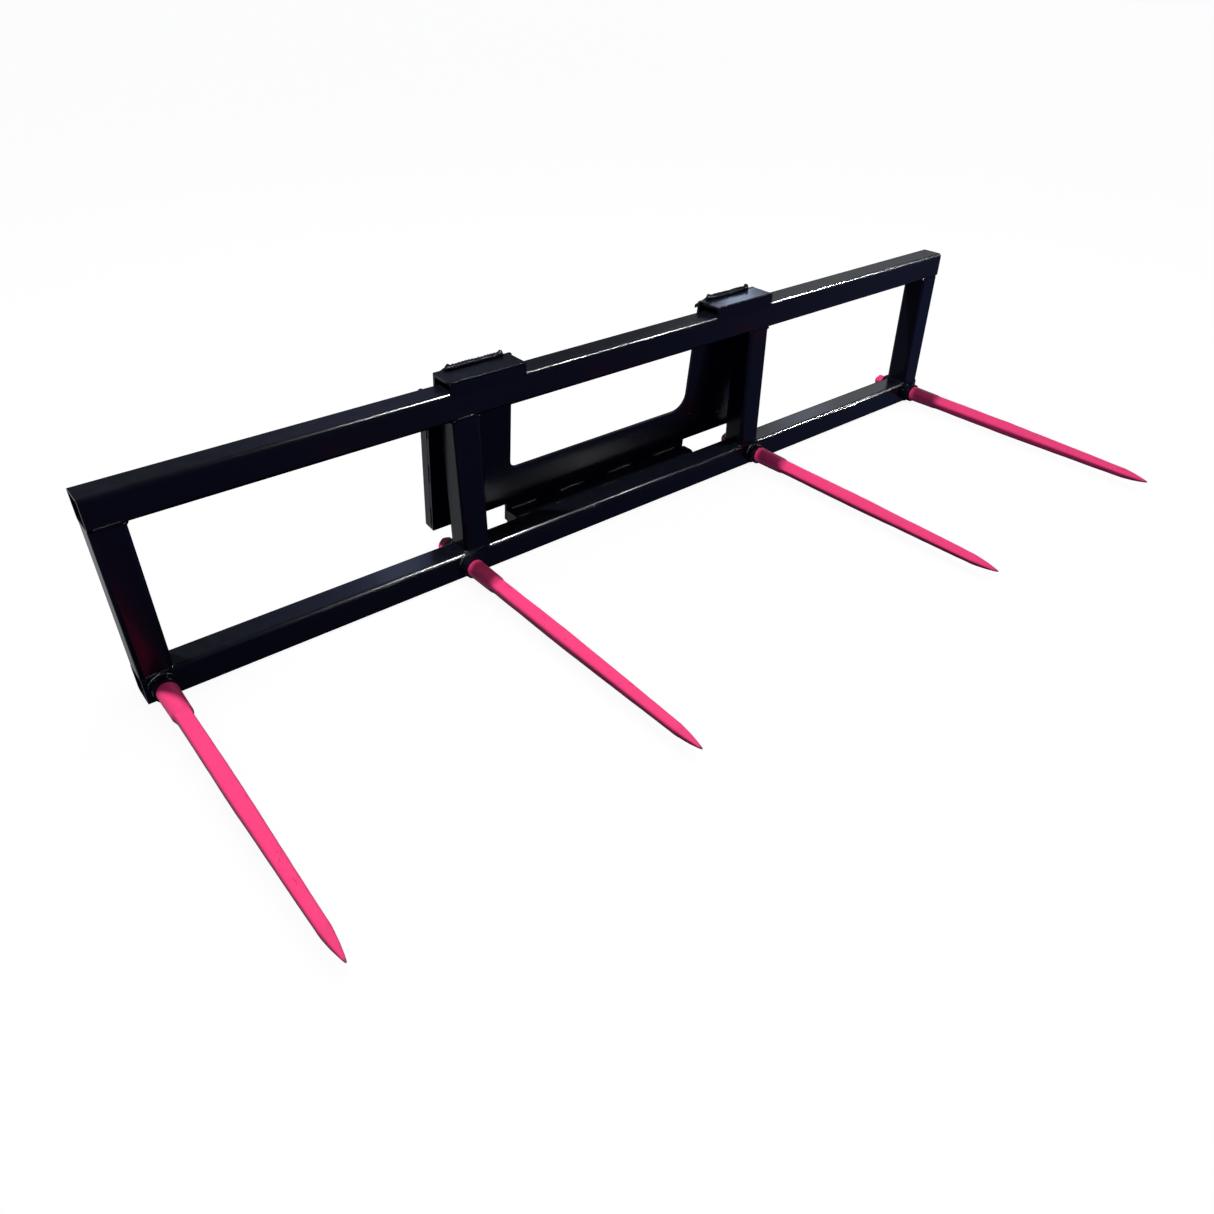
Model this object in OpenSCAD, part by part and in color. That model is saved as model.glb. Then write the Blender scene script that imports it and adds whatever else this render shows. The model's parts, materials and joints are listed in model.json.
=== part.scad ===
// Four-tine bale spear frame with a skid-steer quick-attach plate.
// Units mm, +Z up, +X along the rails, tines point towards -Y.
// The origin is under the middle of the bottom rail, which stands on Z = 0.

/* [Frame] */
// Overall length of the two rails
frame_w = 2750; // [1800:10:3200]
// Overall height of the rail frame
frame_h = 518; // [420:1:700]
// Outside size of the square hollow section
tube = 75; // [60:1:100]
// Wall of the square hollow section
wall = 5; // [3:0.5:8]
// Outside faces of the two middle uprights, either side of centre
mid_face_x = 545; // [450:1:620]

/* [Tines] */
// Centre of the two outer tines, either side of centre
tine_out_x = 1334; // [900:1:1343]
// Centre of the two inner tines, either side of centre
tine_in_x = 535; // [400:1:640]
// Reach of the tines in front of the rails
tine_reach = 890; // [500:5:1200]
// Side of the square tine bar before it narrows
tine_bar = 36; // [28:1:42]
// Diameter of the round tine root
tine_root_d = 50; // [47:1:56]
// Outside diameter of the weld-in bush
bush_d = 60; // [56:1:66]
// How far each bush stands out of the rail, front and back
bush_out = 25; // [10:1:40]

/* [Quick-attach plate] */
// Width of the quick-attach plate
plate_w = 1140; // [1100:1:1150]
// Thickness of the quick-attach plate
plate_t = 10; // [8:1:12]
// Lower edge of the plate wings
plate_z = 95; // [80:1:150]
// Width of the window between the plate wings
window_w = 646; // [500:1:760]
// Lower edge of the window
window_z = 207; // [150:1:300]
// Depth of the spacer tube between bottom rail and plate
spacer_d = 50; // [40:1:80]
// Length of the spacer tube with its end caps
spacer_w = 670; // [400:1:700]
// Depth of the side cheeks, plate thickness included
cheek_d = 40; // [30:1:70]
// Centre of each locking-pin slot, either side of centre
slot_x = 408; // [390:1:460]
// Width of a locking-pin slot
slot_w = 62; // [40:1:80]
// Depth of a locking-pin slot
slot_d = 27; // [20:1:30]

/* [Top brackets] */
// Length of the bracket over the top rail at each wing
saddle_w = 216; // [120:1:240]
// Height of the bracket above the top rail
saddle_h = 26; // [18:1:40]
// Plate thickness of the brackets and the hook lips
saddle_t = 8; // [5:1:10]
// Length of each hook lip
hook_w = 166; // [100:1:190]
// Depth of each hook lip along its slope
hook_l = 52; // [40:1:70]

/* [Hidden] */
$fn = 64;
steel = [0.06, 0.06, 0.09];
bead = [0.12, 0.12, 0.14];
pink = [0.90, 0.16, 0.40];
eps = 0.01;
r_out = 2 * wall;                        // outer corner of a cold-formed tube
half_w = frame_w / 2;
post_h = frame_h - 2 * tube;
axis_z = tube / 2;
tine_xs = [-tine_out_x, -tine_in_x, tine_in_x, tine_out_x];
post_xs = [-half_w, -mid_face_x, mid_face_x - tube, half_w - tube];

tilt = atan(spacer_d / (frame_h - tube)); // plate leans on the rail and the spacer
z_touch = frame_h - r_out;
wing_top = frame_h + saddle_h;
cheek_top = frame_h - 24;
tab_z = 40;                              // the plate tab behind the spacer ends here
flange_d = 44;                           // lower flange behind the plate
hook_a = 42;                             // slope of the hook lips
hook_rise = 4;                           // hook lips stand above the wings
cap_t = 4;

seat_r0 = 23;                            // tapered seat, large end
seat_r1 = 18;                            // tapered seat, small end
seat_gap = 0.2;
bush_len = tube + 2 * bush_out;
rear_y = tube + bush_out;
washer_t = 5;
nut_h = 24;
nut_af = 41;
stud_r = 14;
weld_leg = 6;

// ---------- helpers ----------
// all drawing below is done with the front faces of the rails on Y = 0
// front face of the leaning plate at height z
function plate_y(z) = tube - r_out + r_out / cos(tilt) + (z_touch - z) * tan(tilt);
// distance up the plate at height z on its front face
function slope(z) = (z - z_touch) / cos(tilt);
function seat_r(y) = seat_r0 - (seat_r0 - seat_r1) * (y + bush_out) / bush_len;

module rounded(w, h, r) {
    translate([r, 0]) square([w - 2 * r, h]);
    translate([0, r]) square([w, h - 2 * r]);
    for (x = [r, w - r], y = [r, h - r]) translate([x, y]) circle(r = r);
}

module hollow(w, h, r, t) difference() {
    rounded(w, h, r);
    translate([t, t]) rounded(w - 2 * t, h - 2 * t, r - t);
}

// section drawn in Y and Z, run along +X
module along_x(len) rotate([90, 0, 90]) linear_extrude(len) children();

// cylinder or cone along +Y
module along_y(y0, h, r1, r2) translate([0, y0, 0]) rotate([-90, 0, 0]) cylinder(h = h, r1 = r1, r2 = r2);

// drawing plane of the plate: x across, y up the slope, z = plate_t on its front face
module in_plate() translate([0, plate_y(z_touch), z_touch]) rotate([90 + tilt, 0, 0])
    translate([0, 0, -plate_t]) children();

// sets a part so that Y = 0 runs along the middle of the rails
module centred() translate([0, -tube / 2, 0]) children();

// the left half is drawn at negative X
module side(s) { if (s > 0) children(); else mirror([1, 0, 0]) children(); }

// ---------- rail frame ----------
module rail_body() translate([-half_w, 0, 0]) along_x(frame_w) hollow(tube, tube, r_out, wall);

module top_rail() color(steel) centred() translate([0, 0, frame_h - tube]) rail_body();

module bottom_rail() color(steel) centred() difference() {
    rail_body();
    for (x = tine_xs) translate([x, 0, axis_z]) along_y(-1, tube + 2, bush_d / 2, bush_d / 2);
}

module post(x) color(steel) centred() translate([x, 0, tube]) linear_extrude(post_h)
    hollow(tube, tube, r_out, wall);

// ---------- tines and their fixings ----------
module bush(x) color(steel) centred() translate([x, 0, axis_z]) difference() {
    along_y(-bush_out, bush_len, bush_d / 2, bush_d / 2);
    along_y(-bush_out, bush_len, seat_r0 + seat_gap, seat_r1 + seat_gap);
}

// square bar with dressed corners, narrowing to a pencil point
module tine_blade() {
    root = -bush_out - 85;
    knee = -0.45 * tine_reach;
    // distance and half width down to the point
    steps = [[root, tine_bar / 2], [knee, tine_bar / 2], [75 - tine_reach, 10.6],
        [35 - tine_reach, 7], [10 - tine_reach, 3], [-tine_reach, 0.8]];
    last = len(steps) - 1;
    outline = concat([for (i = [0:last]) [steps[i][0], steps[i][1]]],
        [for (i = [last:-1:0]) [steps[i][0], -steps[i][1]]]);
    intersection() {
        rotate([90, 0, 90]) translate([0, 0, -40]) linear_extrude(80) polygon(outline);
        translate([0, 0, -40]) linear_extrude(80) polygon([for (p = outline) [p[1], p[0]]]);
        for (i = [0:last - 1]) {
            far = steps[i + 1];
            near = steps[i];
            along_y(far[0], near[0] - far[0], far[1] * 1.24, near[1] * 1.24);
        }
    }
}

module tine(x) color(pink) centred() translate([x, 0, axis_z]) {
    root_r = tine_root_d / 2;
    along_y(-bush_out - 98, 98, root_r - 1.5, root_r);
    along_y(-bush_out - 118, 20, tine_bar / 2 - 1, root_r - 1.5);
    tine_blade();
    along_y(-bush_out, bush_len - 9, seat_r0, seat_r(rear_y - 9));
    along_y(rear_y - 9, 9 + washer_t + nut_h + 8, stud_r, stud_r);
}

module washers() color(pink) centred() for (x = tine_xs) translate([x, 0, axis_z]) difference() {
    along_y(rear_y, washer_t, 26, 26);
    along_y(rear_y - 1, washer_t + 2, stud_r + 0.5, stud_r + 0.5);
}

module nuts() color(pink) centred() for (x = tine_xs) translate([x, rear_y + washer_t, axis_z])
    rotate([-90, 0, 0]) difference() {
        cylinder(h = nut_h, d = nut_af / cos(30), $fn = 6);
        translate([0, 0, -1]) cylinder(h = nut_h + 2, r = stud_r + 0.15);
    }

// ---------- quick-attach plate ----------
module window_cut() {
    z0 = slope(window_z);
    wide = 48;                           // corner radii of the window
    tight = 24;
    h = slope(wing_top) - z0 + 1;
    hw = window_w / 2;
    translate([-hw, z0 + wide]) square([window_w, h]);
    translate([-hw, z0 + tight]) square([window_w - wide, h]);
    translate([tight - hw, z0]) square([window_w - wide - tight, h]);
    translate([tight - hw, z0 + tight]) circle(r = tight);
    translate([hw - wide, z0 + wide]) circle(r = wide);
}

module plate() color(steel) centred() in_plate() linear_extrude(plate_t) difference() {
    union() {
        translate([-plate_w / 2, slope(plate_z)]) square([plate_w, slope(cheek_top) - slope(plate_z)]);
        translate([-mid_face_x, slope(plate_z)]) square([2 * mid_face_x, slope(wing_top) - slope(plate_z)]);
        translate([-spacer_w / 2, slope(tab_z)]) square([spacer_w, slope(plate_z) - slope(tab_z) + 1]);
    }
    window_cut();
}

module lower_flange() color(steel) centred() in_plate() difference() {
    translate([-plate_w / 2 + plate_t, slope(plate_z), -flange_d])
        cube([plate_w - 2 * plate_t, plate_t, flange_d]);
    for (s = [-1, 1]) translate([s * slot_x - slot_w / 2, slope(plate_z) - 1, -flange_d + 9])
        cube([slot_w, plate_t + 2, slot_d]);
}

module cheek(s) color(steel) centred() side(s) in_plate()
    translate([plate_w / 2 - plate_t, slope(plate_z), plate_t - cheek_d])
    cube([plate_t, slope(cheek_top) - slope(plate_z), cheek_d - plate_t]);

// ---------- spacer behind the bottom rail ----------
module spacer() color(steel) centred() translate([-spacer_w / 2 + cap_t, tube, 0])
    along_x(spacer_w - 2 * cap_t) hollow(spacer_d, tube, r_out, wall);

module spacer_caps() color(steel) centred() for (x = [-spacer_w / 2, spacer_w / 2 - cap_t])
    translate([x, tube, 0]) along_x(cap_t) rounded(spacer_d, tube, r_out);

// ---------- brackets over the top rail ----------
module saddle(s) color(steel) centred() side(s) translate([mid_face_x - saddle_w, 0, 0])
    along_x(saddle_w) difference() {
        polygon([[0, z_touch], [saddle_t, z_touch], [saddle_t, wing_top - saddle_t],
            [plate_y(wing_top - saddle_t), wing_top - saddle_t], [plate_y(wing_top), wing_top],
            [0, wing_top]]);
        translate([0, frame_h - tube]) rounded(tube, tube, r_out);
    }

// ---------- hook lips behind the wings ----------
module hook(s) color(steel) centred() side(s)
    in_plate() translate([mid_face_x - saddle_w + 22, slope(wing_top) + hook_rise, 0]) along_x(hook_w)
        polygon([[0, 0], [-saddle_t / cos(hook_a), 0],
            [-saddle_t / cos(hook_a) - hook_l * sin(hook_a), -hook_l * cos(hook_a)],
            [-hook_l * sin(hook_a), -hook_l * cos(hook_a)]]);

// ---------- welds ----------
// fills the rounded edge of a rail, front and back, under or over an upright
module groove_fill(x) for (f = [0, 1]) translate([x + r_out, f * tube, 0]) mirror([0, f, 0])
    along_x(tube - 2 * r_out) difference() {
        square(r_out);
        translate([r_out, 0]) circle(r = r_out);
    }

module fillet(len) along_x(len) polygon([[0, 0], [weld_leg, 0], [0, weld_leg]]);

module welds_posts() color(bead) centred() for (x = post_xs, up = [0, 1])
    translate([0, 0, up > 0 ? frame_h - tube : tube]) mirror([0, 0, up]) {
        translate([0, 0, -r_out]) groove_fill(x);
        if (x > -half_w) translate([x, r_out, 0]) rotate(90) fillet(tube - 2 * r_out);
        if (x < half_w - tube) translate([x + tube, tube - r_out, 0]) rotate(-90) fillet(tube - 2 * r_out);
    }

module welds_bushes() color(bead) centred() difference() {
    for (x = tine_xs, f = [0, 1]) translate([x, f * tube, axis_z]) mirror([0, f, 0]) difference() {
        union() {
            along_y(-5, 5 + eps, bush_d / 2, bush_d / 2 + 5);
            along_y(0, 6, bush_d / 2 + 5, bush_d / 2 + 5);
        }
        along_y(-6, 13, bush_d / 2, bush_d / 2);
    }
    translate([-half_w - 1, 0, 0]) along_x(frame_w + 2) rounded(tube, tube, r_out);
}

module welds_plate() color(bead) centred() {
    // stitches between spacer and plate
    y0 = plate_y(tube);
    for (x = [-322, -150, 28, 206]) translate([x, y0, tube]) along_x(88)
        polygon([[0, 0], [0, 7], [-9, 0]]);
    // beads along the bracket tops in front of the hook lips
    for (s = [-1, 1]) side(s) in_plate() translate([mid_face_x - saddle_w + 22, slope(wing_top), 0])
        along_x(hook_w) polygon([[0, 0], [hook_rise, 0], [0, plate_t]]);
}

top_rail();
bottom_rail();
post(post_xs[0]);  // post_left_end
post(post_xs[1]);  // post_left_mid
post(post_xs[2]);  // post_right_mid
post(post_xs[3]);  // post_right_end
bush(tine_xs[0]);  // bush_1
bush(tine_xs[1]);  // bush_2
bush(tine_xs[2]);  // bush_3
bush(tine_xs[3]);  // bush_4
tine(tine_xs[0]);  // tine_1
tine(tine_xs[1]);  // tine_2
tine(tine_xs[2]);  // tine_3
tine(tine_xs[3]);  // tine_4
washers();
nuts();
plate();
lower_flange();
spacer();
spacer_caps();
cheek(-1);  // cheek_left
cheek(1);  // cheek_right
saddle(-1);  // saddle_left
saddle(1);  // saddle_right
hook(-1);  // hook_left
hook(1);  // hook_right
welds_posts();
welds_bushes();
welds_plate();
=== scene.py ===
import json
import math
import random

import bmesh
import bpy
from mathutils import Matrix, Vector, noise

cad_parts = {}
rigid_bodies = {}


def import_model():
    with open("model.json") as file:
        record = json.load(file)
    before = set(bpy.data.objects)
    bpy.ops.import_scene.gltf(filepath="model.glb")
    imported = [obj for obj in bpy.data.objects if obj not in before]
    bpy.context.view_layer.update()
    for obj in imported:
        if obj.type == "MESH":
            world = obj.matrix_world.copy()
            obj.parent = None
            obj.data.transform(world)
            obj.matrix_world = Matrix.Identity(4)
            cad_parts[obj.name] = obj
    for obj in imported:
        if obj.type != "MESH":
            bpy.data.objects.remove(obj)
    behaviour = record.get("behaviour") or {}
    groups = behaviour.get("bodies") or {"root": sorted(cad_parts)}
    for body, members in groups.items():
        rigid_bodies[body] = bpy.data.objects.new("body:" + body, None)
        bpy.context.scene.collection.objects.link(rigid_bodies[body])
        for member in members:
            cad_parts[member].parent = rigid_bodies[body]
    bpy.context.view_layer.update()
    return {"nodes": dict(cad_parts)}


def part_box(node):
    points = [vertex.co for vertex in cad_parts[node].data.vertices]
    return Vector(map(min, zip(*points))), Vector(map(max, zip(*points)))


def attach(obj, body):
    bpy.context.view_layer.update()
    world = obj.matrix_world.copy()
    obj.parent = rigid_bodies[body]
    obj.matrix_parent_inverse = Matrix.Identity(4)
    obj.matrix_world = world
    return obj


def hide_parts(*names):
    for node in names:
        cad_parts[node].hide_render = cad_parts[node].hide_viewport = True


bl_info = {
    "name": "Bale spear frame",
    "version": (1, 0, 0),
    "blender": (4, 5, 0),
    "location": "3D View > Sidebar > Bale Spear",
    "description": "Paint, weld beads, forged tines and studio for a four-tine bale spear frame",
    "category": "Object",
}

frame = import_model()
MM = 0.001
BODY = "root"

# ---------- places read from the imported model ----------
RAIL_LO, RAIL_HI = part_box("bottom_rail")
TOP_LO, TOP_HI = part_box("top_rail")
SPACER_LO, SPACER_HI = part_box("spacer_caps")
SADDLE_LO, SADDLE_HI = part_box("saddle_right")
HOOK_LO, HOOK_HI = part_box("hook_right")
BUSH_LO, BUSH_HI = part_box("bush_1")
POINT_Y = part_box("tine_1")[0].y
PLATE_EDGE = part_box("plate")[1].x
FLANGE_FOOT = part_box("lower_flange")[0].z
POSTS = ["post_left_end", "post_left_mid", "post_right_mid", "post_right_end"]
TINES = ["tine_1", "tine_2", "tine_3", "tine_4"]
SHEET_PARTS = {"plate", "lower_flange", "cheek_left", "cheek_right", "saddle_left", "saddle_right",
               "hook_left", "hook_right"}

# ---------- sizes of the square tube, the sheet and the fixings ----------
HALF = (RAIL_HI.z - RAIL_LO.z) / 2
CORNER = 10 * MM
TUBE_WALL = 5 * MM
PLATE_T = 10 * MM
STUD_R = 14 * MM
WASHER_R = 26 * MM
BORE_R = 14.6 * MM
NUT_FLATS = 41 * MM

# ---------- places worked out from them ----------
AXIS_Z = RAIL_LO.z + HALF
TILT = math.atan((SPACER_HI.y - RAIL_HI.y) / (TOP_HI.z - RAIL_HI.z))
TOUCH_Z = TOP_HI.z - CORNER
WING_Z = FLANGE_FOOT - PLATE_T * math.sin(TILT)
BUSH_R = (BUSH_HI.z - BUSH_LO.z) / 2


def middle(name):
    """Place of a part's middle along the rails."""
    low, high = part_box(name)
    return (low.x + high.x) / 2


def plate_point(x, z, back=0.0):
    """A point on the front face of the leaning plate, or that far behind the face."""
    y = HALF - CORNER + CORNER / math.cos(TILT) + (TOUCH_Z - z) * math.tan(TILT)
    return Vector((x, y, z)) + back * Vector((0, math.cos(TILT), math.sin(TILT)))


# ---------- settings ----------
class FramePaintSettings(bpy.types.PropertyGroup):
    colour: bpy.props.FloatVectorProperty(
        name="Paint colour", description="Base colour of the gloss black paint",
        default=(0.0024, 0.0029, 0.0062), subtype="COLOR", size=3, min=0, max=1)
    worn: bpy.props.FloatVectorProperty(
        name="Dusty colour", description="Colour that dust lends to faces that look up",
        default=(0.016, 0.017, 0.020), subtype="COLOR", size=3, min=0, max=1)
    roughness: bpy.props.FloatProperty(
        name="Roughness", description="Roughness of clean paint",
        default=0.20, min=0.02, max=1, subtype="FACTOR")
    edge: bpy.props.FloatProperty(
        name="Edge radius", description="Small radius on the cut edges of the sheet parts",
        default=1.2 * MM, min=0.1 * MM, max=4 * MM, unit="LENGTH")


class TineSettings(bpy.types.PropertyGroup):
    colour: bpy.props.FloatVectorProperty(
        name="Tine colour", description="Bright pink of the tines, washers and nuts",
        default=(0.93, 0.055, 0.205), subtype="COLOR", size=3, min=0, max=1)
    scuffed: bpy.props.FloatVectorProperty(
        name="Scuffed colour", description="Colour of rubbed and marked spots on the tines",
        default=(0.50, 0.018, 0.095), subtype="COLOR", size=3, min=0, max=1)
    waviness: bpy.props.FloatProperty(
        name="Forging waviness", description="How far the forged surface strays from flat",
        default=0.35 * MM, min=0, max=1 * MM, unit="LENGTH")
    pitch: bpy.props.FloatProperty(
        name="Thread pitch", description="Pitch of the stud thread",
        default=1.5 * MM, min=0.5 * MM, max=4 * MM, unit="LENGTH")


class BeadSettings(bpy.types.PropertyGroup):
    ripple: bpy.props.FloatProperty(
        name="Ripple pitch", description="Distance between two ripples of a weld bead",
        default=3.2 * MM, min=1 * MM, max=8 * MM, unit="LENGTH")
    step: bpy.props.FloatProperty(
        name="Bead step", description="Distance between two sections of a bead mesh",
        default=0.8 * MM, min=0.3 * MM, max=3 * MM, unit="LENGTH")
    width: bpy.props.FloatProperty(
        name="Bead width", description="Width of a plain bead",
        default=9 * MM, min=3 * MM, max=16 * MM, unit="LENGTH")


class StudioSettings(bpy.types.PropertyGroup):
    place: bpy.props.FloatVectorProperty(
        name="Camera place", description="Where the camera stands",
        default=(-1.5937, -1.9176, 1.4214), size=3, subtype="TRANSLATION", unit="LENGTH")
    heading: bpy.props.FloatProperty(
        name="Heading", description="Camera heading, clockwise from +Y",
        default=math.radians(39.04), subtype="ANGLE")
    dip: bpy.props.FloatProperty(
        name="Dip", description="How far the camera looks down",
        default=math.radians(35.55), subtype="ANGLE")
    roll: bpy.props.FloatProperty(
        name="Roll", description="Camera roll", default=math.radians(0.40), subtype="ANGLE")
    lens: bpy.props.FloatProperty(
        name="Lens", description="Focal length in millimetres on a 36 mm wide sensor",
        default=28.40, min=10, max=120)
    floor: bpy.props.FloatVectorProperty(
        name="Floor colour", description="Colour of the pale floor",
        default=(0.32, 0.32, 0.325), subtype="COLOR", size=3, min=0, max=1)


# ---------- colours of the marks on a tine ----------
PALE_PINK = (1.0, 0.11, 0.28)
BARE_STEEL = (0.17, 0.105, 0.10)


# ---------- shader helpers ----------
class Wire:
    """One output socket of a shader tree, so that sums are written as Python."""

    def __init__(self, sheet, socket):
        self.sheet, self.socket = sheet, socket

    def _math(self, operation, first, second):
        node = self.sheet.add("ShaderNodeMath", {"operation": operation}, {0: first, 1: second})
        return Wire(self.sheet, node.outputs[0])

    def __add__(self, other):
        return self._math("ADD", self, other)

    __radd__ = __add__

    def __mul__(self, other):
        return self._math("MULTIPLY", self, other)

    __rmul__ = __mul__

    def __sub__(self, other):
        return self._math("SUBTRACT", self, other)

    def __rsub__(self, other):
        return self._math("SUBTRACT", other, self)

    def __truediv__(self, other):
        return self._math("DIVIDE", self, other)

    def __rtruediv__(self, other):
        return self._math("DIVIDE", other, self)

    def __pow__(self, other):
        return self._math("POWER", self, other)

    def __rpow__(self, other):
        return self._math("POWER", other, self)

    def step(self, low, high):
        """0 below low, 1 above high, and a straight rise between."""
        node = self.sheet.add(
            "ShaderNodeMapRange", {"clamp": True},
            {"Value": self, "From Min": low, "From Max": high, "To Min": 0.0, "To Max": 1.0})
        return Wire(self.sheet, node.outputs["Result"])


class Sheet:
    """A shader tree that is being written."""

    def __init__(self, tree):
        self.tree = tree
        tree.nodes.clear()

    def add(self, kind, settings=None, sockets=None):
        """A node of one kind: its settings first, then values or links on its sockets."""
        node = self.tree.nodes.new(kind)
        for key, value in (settings or {}).items():
            setattr(node, key, value)
        for key, value in (sockets or {}).items():
            socket = node.inputs[key]
            if isinstance(value, Wire):
                self.tree.links.new(value.socket, socket)
            elif socket.type == "RGBA" and len(value) == 3:
                socket.default_value = (*value, 1)
            else:
                socket.default_value = value
        return node

    def out(self, kind, settings=None, sockets=None, output=0):
        """The same, but gives one of the new node's outputs."""
        return Wire(self, self.add(kind, settings, sockets).outputs[output])

    def blend(self, share, first, second):
        """Mixes two colours."""
        return self.out("ShaderNodeMix", {"data_type": "RGBA"}, {0: share, 6: first, 7: second}, 2)

    def place(self):
        """Place on the piece in metres, which doesn't slide when the piece moves."""
        return self.out("ShaderNodeTexCoord", output="Object")

    def stretched(self, place, scale):
        return self.out("ShaderNodeVectorMath", {"operation": "MULTIPLY"}, {0: place, 1: scale})

    def noise(self, place, scale, detail=3.0, rough=0.55, warp=0.0):
        return self.out(
            "ShaderNodeTexNoise", None,
            {"Vector": place, "Scale": scale, "Detail": detail, "Roughness": rough,
             "Distortion": warp})

    def facing_up(self):
        """1 where the surface looks straight up, 0 where it stands upright."""
        normal = self.out("ShaderNodeNewGeometry", output="Normal")
        return self.out("ShaderNodeSeparateXYZ", None, {0: normal}, "Z")

    def bump(self, height, distance, strength=1.0, normal=None):
        sockets = {"Height": height, "Distance": distance, "Strength": strength}
        if normal is not None:
            sockets["Normal"] = normal
        return self.out("ShaderNodeBump", None, sockets)


def new_finish(name):
    finish = bpy.data.materials.new(name)
    finish.use_nodes = True
    return finish, Sheet(finish.node_tree)


def close_finish(sheet, sockets):
    shader = sheet.add("ShaderNodeBsdfPrincipled", None, sockets)
    out = sheet.add("ShaderNodeOutputMaterial")
    sheet.tree.links.new(shader.outputs[0], out.inputs["Surface"])


def scaled(colour, factor):
    """A lighter or darker version of a colour."""
    return [channel * factor for channel in colour]


def frame_paint(settings):
    """Gloss black over mill steel: orange peel, slow waves, dust on top and rubbed spots."""
    finish, s = new_finish("frame_gloss_black")
    place = s.place()
    slow = s.noise(place, 9.0, 2.0)
    cloud = s.noise(place, 38.0, 4.0)
    fine = s.noise(place, 900.0, 2.0)
    dust = s.facing_up().step(0.25, 0.95) * cloud.step(0.35, 0.85) * 0.22
    speck = s.noise(place, 2200.0, 1.0).step(0.70, 0.78) * s.noise(place, 60.0, 2.0).step(0.5, 0.7)
    shade = s.blend(cloud * 0.6, settings.colour, scaled(settings.colour, 1.8))
    colour = s.blend(dust + speck * 0.35, shade, settings.worn)
    peel = s.bump(s.noise(place, 260.0, 2.0), 0.07 * MM)
    wave = s.bump(slow, 0.4 * MM, 1.0, peel)
    close_finish(s, {
        "Base Color": colour,
        "Roughness": settings.roughness + dust * 0.16 + fine * 0.06 + speck * 0.2,
        "Specular IOR Level": 0.2,
        "Coat Weight": 0.10,
        "Coat Roughness": 0.08,
        "Normal": wave,
    })
    return finish


def weld_paint(settings):
    """The same paint over weld metal, a little thinner on the ripples."""
    finish, s = new_finish("weld_gloss_black")
    place = s.place()
    grain = s.noise(place, 420.0, 4.0)
    colour = s.blend(grain.step(0.35, 0.8), settings.colour, scaled(settings.colour, 1.6))
    close_finish(s, {
        "Base Color": colour,
        "Roughness": 0.12 + grain * 0.14,
        "Specular IOR Level": 0.22,
        "Normal": s.bump(grain, 0.25 * MM),
    })
    return finish


def tine_paint(settings):
    """Satin pink over forged bar: drawn streaks along the tine, rubbed patches and small marks."""
    finish, s = new_finish("tine_satin_pink")
    place = s.place()
    streak = s.noise(s.stretched(place, (1.0, 0.12, 1.0)), 170.0, 4.0)
    patch = s.noise(place, 26.0, 4.0, 0.6, 0.4)
    marks = s.noise(s.stretched(place, (1.0, 0.55, 1.0)), 75.0, 2.0, 0.5, 0.8)
    mark = marks.step(0.66, 0.72)
    nick = s.noise(place, 420.0, 1.0).step(0.74, 0.80)
    tone = s.blend(patch.step(0.3, 0.8) * 0.30, settings.colour, scaled(settings.colour, 0.78))
    pale = s.blend(streak.step(0.55, 0.95) * 0.22, tone, PALE_PINK)
    painted = s.blend(mark * 0.40 + nick * 0.30, pale, settings.scuffed)
    along = s.out("ShaderNodeSeparateXYZ", None, {0: place}, "Y")
    bare = (along + patch * 6 * MM).step(POINT_Y + 13 * MM, POINT_Y + 8 * MM)
    colour = s.blend(bare * 0.85, painted, BARE_STEEL)
    scale = s.bump(s.noise(place, 320.0, 4.0), 0.12 * MM)
    dents = s.bump(s.noise(s.stretched(place, (1.0, 0.4, 1.0)), 48.0, 2.0), 0.8 * MM, 1.0, scale)
    close_finish(s, {
        "Base Color": colour,
        "Roughness": 0.34 + patch * 0.14 + mark * 0.2,
        "Specular IOR Level": 0.45,
        "Normal": dents,
    })
    return finish


def floor_finish(settings):
    """Pale matt floor with a faint mottle, lit enough from within to stay pale under soft light."""
    finish, s = new_finish("pale_floor")
    place = s.place()
    mottle = s.noise(place, 3.0, 3.0)
    colour = s.blend(mottle * 0.12, settings.floor, scaled(settings.floor, 0.96))
    close_finish(s, {
        "Base Color": colour, "Roughness": 0.85, "Specular IOR Level": 0.1,
        "Emission Color": (1.0, 1.0, 1.0), "Emission Strength": 0.93,
    })
    return finish


def material(name):
    """A finish by its name, made on first use."""
    scene = bpy.context.scene
    makers = {
        "frame_gloss_black": lambda: frame_paint(scene.spear_paint),
        "weld_gloss_black": lambda: weld_paint(scene.spear_paint),
        "tine_satin_pink": lambda: tine_paint(scene.spear_tines),
        "pale_floor": lambda: floor_finish(scene.spear_studio),
    }
    return bpy.data.materials.get(name) or makers[name]()


# ---------- mesh helpers ----------
def piece(name, mesh, finish, smooth=None):
    """Links a new piece, gives it its finish and slot, and sets it on the frame's body."""
    mesh.materials.append(material(finish))
    for polygon in mesh.polygons:
        polygon.use_smooth = True
    if smooth is not None:
        mesh.set_sharp_from_angle(angle=math.radians(smooth))
    obj = bpy.data.objects.new(name, mesh)
    bpy.context.scene.collection.objects.link(obj)
    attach(obj, BODY)
    return obj


def skin(rings, closed_path=False, caps=True):
    """Vertices and faces of a surface through equal closed rings of points."""
    count, size = len(rings), len(rings[0])
    verts = [p for ring in rings for p in ring]
    faces = []
    for i in range(count if closed_path else count - 1):
        a, b = i * size, (i + 1) % count * size
        for j in range(size):
            k = (j + 1) % size
            faces.append((a + j, a + k, b + k, b + j))
    if caps and not closed_path:
        faces.append(tuple(range(size - 1, -1, -1)))
        faces.append(tuple(range((count - 1) * size, count * size)))
    return verts, faces


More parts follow.
